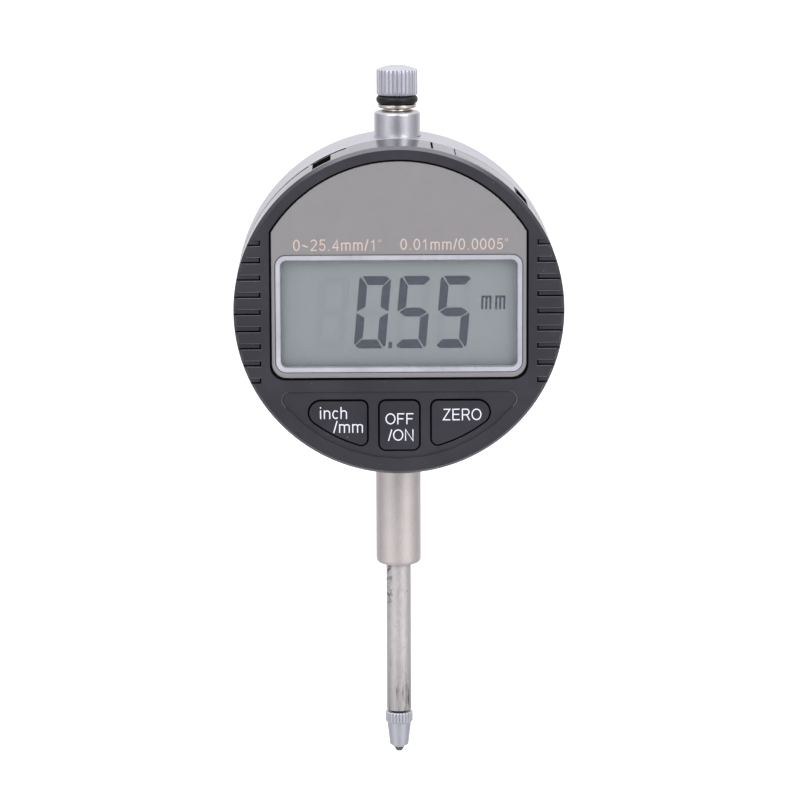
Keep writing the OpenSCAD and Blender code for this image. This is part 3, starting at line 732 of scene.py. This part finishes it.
# Plain sans serif letters as pen strokes: the width of the letter, then its strokes. Capitals are
# 1 high. A stroke that ends where it starts is closed.
LETTERS = {
    "0": (0.56, [bow(0.28, 0.5, 0.225, 0.45, 90, 450, 24)]),
    "1": (0.56, [[(0.13, 0.72), (0.25, 0.8), (0.33, 0.93), (0.33, 0)]]),
    "2": (0.56, [bow(0.28, 0.7, 0.215, 0.25, 165, -38, 14) + [(0.06, 0.05), (0.53, 0.05)]]),
    "4": (0.56, [[(0.4, 0), (0.4, 0.93), (0.04, 0.28), (0.55, 0.28)]]),
    "5": (0.56, [[(0.5, 0.95), (0.16, 0.95), (0.1, 0.5)] + bow(0.27, 0.335, 0.225, 0.285, 130, -155, 16)]),
    "~": (0.58, [[(0.06 + 0.046 * k, 0.42 + 0.065 * math.sin(k * math.pi / 5)) for k in range(11)]]),
    ".": (0.28, [[(0.14, 0), (0.14, 0.11)]]),
    "/": (0.28, [[(0.02, 0), (0.26, 1)]]),
    "\"": (0.3, [[(0.06, 0.74), (0.06, 1)], [(0.22, 0.74), (0.22, 1)]]),
    "m": (0.84, [[(0.09, 0), (0.09, 0.73)], arch(0.09, 0.42, 0.73, 0.11), arch(0.42, 0.75, 0.73, 0.11)]),
    "n": (0.56, [[(0.09, 0), (0.09, 0.73)], arch(0.09, 0.47, 0.73)]),
    "h": (0.56, [[(0.09, 0), (0.09, 1)], arch(0.09, 0.47, 0.73)]),
    "i": (0.24, [[(0.12, 0), (0.12, 0.73)], [(0.12, 0.88), (0.12, 1)]]),
    "c": (0.5, [bow(0.27, 0.365, 0.2, 0.32, 45, 315, 16)]),
    "O": (0.78, [bow(0.39, 0.5, 0.335, 0.45, 90, 450, 28)]),
    "F": (0.62, [[(0.1, 0), (0.1, 0.95), (0.59, 0.95)], [(0.1, 0.5), (0.52, 0.5)]]),
    "N": (0.72, [[(0.09, 0), (0.09, 1), (0.63, 0), (0.63, 1)]]),
    "Z": (0.62, [[(0.07, 0.95), (0.55, 0.95), (0.05, 0.05), (0.58, 0.05)]]),
    "E": (0.66, [[(0.61, 0.95), (0.1, 0.95), (0.1, 0.05), (0.62, 0.05)], [(0.1, 0.51), (0.57, 0.51)]]),
    "R": (0.72, [[(0.1, 0), (0.1, 0.95), (0.4, 0.95)] + bow(0.43, 0.71, 0.17, 0.24, 80, -80, 10)
                 + [(0.4, 0.47), (0.1, 0.47)], [(0.42, 0.47), (0.66, 0)]]),
}


def ribbon(points, half):
    """The two edges of a pen stroke, joined at mitred corners."""
    closed = (Vector(points[0]) - Vector(points[-1])).length < 1e-4
    chain = [Vector(p) for p in (points[:-1] if closed else points)]
    edges = []
    for i, here in enumerate(chain):
        before = here - chain[i - 1] if i or closed else chain[1] - here
        after = chain[(i + 1) % len(chain)] - here if i < len(chain) - 1 or closed else before
        side = (before.normalized() + after.normalized()).normalized()
        reach = half / max(0.5, side.dot(after.normalized()))
        across = Vector((-side.y, side.x)) * reach
        edges.append((here + across, here - across))
    return edges + edges[:1] if closed else edges


INK_THICK = 0.015
# how much further forward each next stroke of a letter lies, and each next point of a stroke
STROKE_STEP, POINT_STEP = 0.01, 0.003


def lettering(name, text, box, front, body, material, pen=0.25, space=0.06):
    """Flat printed text that fills a box (left, bottom, width, height) on the dial, in mm.
    pen is the width of the strokes in mm and space the gap between letters."""
    left, bottom, width, height = box
    total = sum(LETTERS[c][0] + space for c in text) - space
    scale_x = width / total
    bm = bmesh.new()
    x = 0
    for c in text:
        half = pen / 2 * (0.6 if c == "\"" else 1)
        for order, stroke in enumerate(LETTERS[c][1]):
            drawn = [(left + (x + px) * scale_x, bottom + pen / 2 + py * (height - pen))
                     for px, py in stroke]
            closed = math.dist(stroke[0], stroke[-1]) < 1e-4
            rows = []
            for k, pair in enumerate(ribbon(drawn, half)):
                # where strokes cross, no two of them lie in one plane
                level = front + INK_THICK + STROKE_STEP * order + (0 if closed else POINT_STEP * k)
                rows.append([bm.verts.new(face_point(p, h)) for h in (front, level) for p in pair])
            for a, b in zip(rows, rows[1:]):
                for i, k in ((0, 1), (1, 3), (3, 2), (2, 0)):
                    bm.faces.new((a[i], a[k], b[k], b[i]))
            if not closed:
                for end in (rows[0], rows[-1]):
                    bm.faces.new((end[0], end[1], end[3], end[2]))
        x += LETTERS[c][0] + space
    finished(name, bm, body, material)


panel_front = front_of("face_panel")
lettering("range_text_left", "0~25.4mm/1\"", (-18.2, 10.5, 15.3, 2.2), panel_front, "head",
          MATERIALS["ink_gold"], pen=0.22, space=0.12)
lettering("range_text_right", "0.01mm/0.0005\"", (0.25, 10.6, 18.6, 2.15), panel_front, "head",
          MATERIALS["ink_gold"], pen=0.22, space=0.12)
key_front = front_of("key_unit")
for name, text, box, body in (
    ("legend_inch", "inch", (-13.95, -18.85, 5.0, 2.3), "unit_key"),
    ("legend_mm", "/mm", (-11.45, -21.3, 5.25, 2.3), "unit_key"),
    ("legend_off", "OFF", (-2.45, -19.85, 4.95, 2.15), "power_key"),
    ("legend_on", "/ON", (-1.95, -22.75, 4.5, 2.2), "power_key"),
    ("legend_zero", "ZERO", (7.5, -19.2, 6.75, 2.25), "zero_key"),
):
    lettering(name, text, box, key_front, body, MATERIALS["ink_white"], pen=0.2)


# ------------------------------------------------------------------ turned metal parts

def turned_part(name, node, corners, body, material, sides=128):
    """A round part on the spindle axis. corners are (radius, height, rounding), in mm."""
    profile = [(p.x, p.y) for p in filleted(corners, steps=5)]
    bm = lathe(profile, sides=sides, closed=corners[0][0] > 0)
    return finished(name, bm, body, MATERIALS[material], replaces=node)


def stem():
    low, high = span("stem", 2)
    r = radius_of("stem")
    bore = radius_of("spindle") + 0.05
    seat = CENTRE_Z - HEAD_R
    turned_part("stem_tube", "stem", [
        (bore, high, 0), (3.4, high, 0), (3.4, seat, 0), (r, seat, 0), (r, low, 1.4), (bore, low, 0.1),
        (bore, low + 3, 0)], "case", "stem_steel")


def top_collar():
    low, high = span("top_collar", 2)
    r = radius_of("top_collar")
    seat = CENTRE_Z + HEAD_R - 0.3
    turned_part("collar_sleeve", "top_collar", [
        (2.5, low, 0), (3.4, low, 0), (3.4, seat, 0), (r, seat, 0), (r, high, 0.9), (2.75, high, 0.05),
        (2.75, high - 0.9, 0), (2.5, high - 0.9, 0)], "case", "collar_steel")


def spindle():
    low, high = span("spindle", 2)
    r = radius_of("spindle")
    shoulder = span("cap_seat", 2)[0]
    turned_part("spindle_rod", "spindle", [
        (0, low + 5, 0), (1.3, low + 5, 0), (1.3, low, 0), (r, low, 0.12), (r, shoulder, 0.05),
        (1.25, shoulder, 0), (1.25, high, 0.1), (0, high, 0)], "plunger", "spindle_steel")


def cap_parts():
    low, high = span("cap_seat", 2)
    seat = span("cap_o_ring", 2)[0]
    turned_part("cap_flange", "cap_seat", [
        (1.25, low, 0), (2.3, low, 0.05), (2.3, seat - 0.75, 0.1), (3.1, seat - 0.65, 0.06),
        (3.45, seat - 0.5, 0.06), (3.45, seat, 0.08), (1.95, seat, 0), (1.95, high, 0), (1.25, high, 0)],
        "plunger", "nickel")
    low, high = span("cap_o_ring", 2)
    half = (high - low) / 2
    middle = radius_of("cap_o_ring") - half
    turns = [2 * math.pi * k / 24 for k in range(24)]
    ring = [(middle + half * math.cos(a), low + half + half * math.sin(a)) for a in turns]
    finished("cap_ring", lathe(ring, sides=96, closed=True), "plunger", MATERIALS["black_rubber"],
             replaces="cap_o_ring")


def flute(count, outer, depth):
    """The radius at a turn round a fluted part: wide lands with round grooves between them."""
    def radius(r, h, turn):
        wave = 0.5 + 0.5 * math.cos(count * turn)
        return min(r, outer - depth * wave ** 3.0)
    return radius


def lifting_cap():
    low, high = span("lifting_cap", 2)
    r = 3.62
    dome = 0.8
    flutes = 28
    shoulder = high - dome
    profile = [(1.25, high - 1.5), (1.25, low), (r - 0.22, low), (r - 0.1, low + 0.04), (r, low + 0.18)]
    profile += [(r, low + 0.18 + (shoulder - low - 0.18) * k / 6) for k in range(1, 7)]
    for k in range(1, 19):
        x = r * (1 - (k / 18) ** 1.6)
        profile.append((x, shoulder + dome * (1 - (x / r) ** 2)))
    profile.insert(0, (0, high - 1.5))
    finished("cap_knurled", lathe(profile, sides=flutes * 12, radius=flute(flutes, r, 0.3)), "plunger",
             MATERIALS["cap_aluminium"], replaces="lifting_cap", angle=55)


def contact():
    low, high = span("contact_point", 2)
    gap = span("spindle", 2)[0] - 0.35
    r = 2.47
    flutes = 24
    knurl = gap - 2.05
    tip_high = span("contact_tip", 2)[1]
    corners = [(0, high, 0), (1.25, high, 0.1), (1.25, gap, 0), (r - 0.15, gap, 0.03), (r, gap - 0.2, 0.05),
               (r, knurl + 0.3, 0.03), (2.17, knurl, 0.02), (2.15, knurl - 0.04, 0.02),
               (1.68, tip_high + 0.45, 0.12), (1.0, tip_high, 0.02), (0, tip_high, 0)]
    profile = [(p.x, p.y) for p in filleted(corners, steps=3)]

    def radius(x, h, turn):
        fluted = knurl - 0.005 < h < gap + 0.005 and x > 1.5
        return flute(flutes, r, 0.26)(x, h, turn) if fluted else x

    body = lathe(profile, sides=flutes * 12, radius=radius)
    # painted shade: the stub inside the gap above the knurl is black
    for face in body.faces:
        middle = face.calc_center_median() / MM
        if middle.z > gap + 0.02 and math.hypot(middle.x, middle.y) < 1.4:
            face.material_index = 1
    finished("point_body", body, "plunger", [MATERIALS["contact_steel"], MATERIALS["painted_shade_black"]],
             replaces="contact_point", angle=55)
    low = span("contact_tip", 2)[0]
    turned_part("point_tip", "contact_tip", [
        (0, tip_high, 0), (1.0, tip_high, 0.02), (0.97, tip_high - 0.05, 0.05), (0.5, low + 0.14, 0.2),
        (0, low, 0)], "plunger", "carbide", sides=64)


stem()
top_collar()
spindle()
cap_parts()
lifting_cap()
contact()


# ------------------------------------------------------------------ the case, and parts left as they are

SEAM_H = back_of("front_bezel") - 0.2


def drum_finish(face):
    """0 for the painted outside, 1 for the rim behind the head and its left edge, painted black as shade."""
    middle = face.calc_center_median() / MM
    turn = math.degrees(math.atan2(-middle.x, middle.z - CENTRE_Z))
    rim = face.normal.y < (-0.3 if 17 < turn < 56 else -0.9)
    outer = max(math.hypot(v.co.x, v.co.z - CENTRE_Z * MM) for v in face.verts) > (HEAD_R - 1) * MM
    return 1 if rim and outer and abs(middle.y + SEAM_H) < 0.3 else 0


softened("rear_housing", "case_drum", 0.14, [MATERIALS["cast_zinc"], MATERIALS["painted_shade_black"]],
         pick=drum_finish)
softened("back_cover", "case_back", 0.15, MATERIALS["cover_metal"], segments=3)

SLOT_OF = {row["node"]: row["material_slot"] for row in frame["record"]["subparts"]}
for node, piece in frame["nodes"].items():
    if piece.hide_render:
        continue
    piece.data.materials.clear()
    piece.data.materials.append(MATERIALS[SLOT_OF[node]])
    if node not in ("return_spring", "crystal", "main_chip"):
        eased(node)


# ------------------------------------------------------------------ studio

def floor():
    """A wide, flat, pale disc under the indicator: it only has to catch light."""
    bm = bmesh.new()
    level = CAD_BOX[0].z - 0.05
    bmesh.ops.create_circle(bm, cap_ends=True, segments=96, radius=4.0,
                            matrix=Matrix.Translation((0, 0, level)))
    mesh = bpy.data.meshes.new("studio_floor")
    bm.to_mesh(mesh)
    bm.free()
    sheet = bpy.data.objects.new("studio_floor", mesh)
    bpy.context.scene.collection.objects.link(sheet)
    m = Material("studio_paper", roughness=0.9)
    m.colour(m.mix(m.ranged(m.noise(40), 0.3, 0.7), srgb(252, 252, 252), srgb(254, 254, 254)))
    m.shader.inputs["Emission Color"].default_value = (1, 1, 1, 1)
    m.shader.inputs["Emission Strength"].default_value = 0.35
    mesh.materials.append(m.material)
    sheet.visible_glossy = False


# brightness of the tent at each angle round the object, in degrees from the camera's side
TENT = ((-180, 0.92), (-145, 0.88), (-112, 0.4), (-75, 0.6), (-50, 1.08), (-28, 0.75), (0, 0.3),
        (26, 0.75), (46, 1.1), (72, 0.6), (108, 0.4), (145, 0.88), (180, 0.92))


def world():
    """A white tent with softer and darker parts: bright at both sides of the camera, dim behind
    it and at the far sides. Plain white where the camera sees it."""
    made = bpy.data.worlds.new("white_tent")
    bpy.context.scene.world = made
    made.use_nodes = True
    tree = made.node_tree
    tree.nodes.clear()
    add = tree.nodes.new
    where = add("ShaderNodeTexCoord")
    split = add("ShaderNodeSeparateXYZ")
    tree.links.new(where.outputs["Generated"], split.inputs["Vector"])
    back = add("ShaderNodeMath")
    back.operation = "MULTIPLY"
    back.inputs[1].default_value = -1
    tree.links.new(split.outputs["Y"], back.inputs[0])
    angle = add("ShaderNodeMath")
    angle.operation = "ARCTAN2"
    tree.links.new(split.outputs["X"], angle.inputs[0])
    tree.links.new(back.outputs[0], angle.inputs[1])
    turn = add("ShaderNodeMapRange")
    turn.inputs["From Min"].default_value = -math.pi
    turn.inputs["From Max"].default_value = math.pi
    tree.links.new(angle.outputs[0], turn.inputs["Value"])
    ramp = add("ShaderNodeValToRGB")
    ramp.color_ramp.interpolation = "EASE"
    ramp.color_ramp.elements.remove(ramp.color_ramp.elements[0])
    for i, (degrees, level) in enumerate(TENT):
        spot = (degrees + 180) / 360
        stop = ramp.color_ramp.elements[0] if i == 0 else ramp.color_ramp.elements.new(spot)
        stop.position = spot
        stop.color = (level * 1.005, level, level * 1.05, 1)
    tree.links.new(turn.outputs[0], ramp.inputs["Fac"])
    lift = add("ShaderNodeMapRange")
    lift.inputs["From Min"].default_value = 0.25
    lift.inputs["From Max"].default_value = 0.8
    tree.links.new(split.outputs["Z"], lift.inputs["Value"])
    over = add("ShaderNodeMix")
    over.data_type = "RGBA"
    over.inputs[7].default_value = (1.15, 1.15, 1.17, 1)
    tree.links.new(lift.outputs[0], over.inputs["Factor"])
    tree.links.new(ramp.outputs["Color"], over.inputs[6])
    light = add("ShaderNodeBackground")
    tree.links.new(over.outputs[2], light.inputs["Color"])
    light.inputs["Strength"].default_value = 1.0
    seen = add("ShaderNodeBackground")
    seen.inputs["Color"].default_value = (1, 1, 1, 1)
    path = add("ShaderNodeLightPath")
    either = add("ShaderNodeMixShader")
    tree.links.new(path.outputs["Is Camera Ray"], either.inputs["Fac"])
    tree.links.new(light.outputs[0], either.inputs[1])
    tree.links.new(seen.outputs[0], either.inputs[2])
    out = add("ShaderNodeOutputWorld")
    tree.links.new(either.outputs[0], out.inputs["Surface"])


def soft_light(name, place, size, power):
    """A large square lamp that looks at the middle of the head."""
    data = bpy.data.lights.new(name, "AREA")
    data.size = size
    data.energy = power
    lamp = bpy.data.objects.new(name, data)
    bpy.context.scene.collection.objects.link(lamp)
    lamp.location = place
    aim = Vector((0, 0, CENTRE_Z * MM)) - Vector(place)
    lamp.rotation_euler = aim.to_track_quat("-Z", "Y").to_euler()


# millimetres and degrees; the aim is a point (x, z) on the plane of the spindle axis
CAMERA_LENS = 171.75
CAMERA_DISTANCE = 680
CAMERA_ELEVATION = 10.4
CAMERA_AZIMUTH = -0.7
CAMERA_ROLL = -0.2
CAMERA_AIM = (0.345, 18.9)


def camera():
    """A long lens in front of the dial, a little above it and looking slightly down."""
    data = bpy.data.cameras.new("camera")
    data.sensor_width = 36
    data.lens = CAMERA_LENS
    view = bpy.data.objects.new("camera", data)
    bpy.context.scene.collection.objects.link(view)
    aim = Vector((CAMERA_AIM[0], 0, CAMERA_AIM[1])) * MM
    tilt, swing = math.radians(CAMERA_ELEVATION), math.radians(CAMERA_AZIMUTH)
    level = Vector((math.sin(swing), -math.cos(swing), 0)) * math.cos(tilt)
    view.location = aim + (level + Vector((0, 0, math.sin(tilt)))) * CAMERA_DISTANCE * MM
    turn = (aim - view.location).to_track_quat("-Z", "Y")
    roll = Matrix.Rotation(math.radians(CAMERA_ROLL), 4, "Z").to_quaternion()
    view.rotation_mode = "QUATERNION"
    view.rotation_quaternion = turn @ roll
    data.clip_start = 0.01
    data.clip_end = 20
    bpy.context.scene.camera = view


floor()
world()
soft_light("key_light", (-0.5, -0.9, 0.8), 0.5, 4)
soft_light("fill_light", (0.6, -0.8, 0.5), 0.5, 3)
camera()
scene = bpy.context.scene
scene.view_settings.view_transform = "Standard"
scene.cycles.use_denoising = True
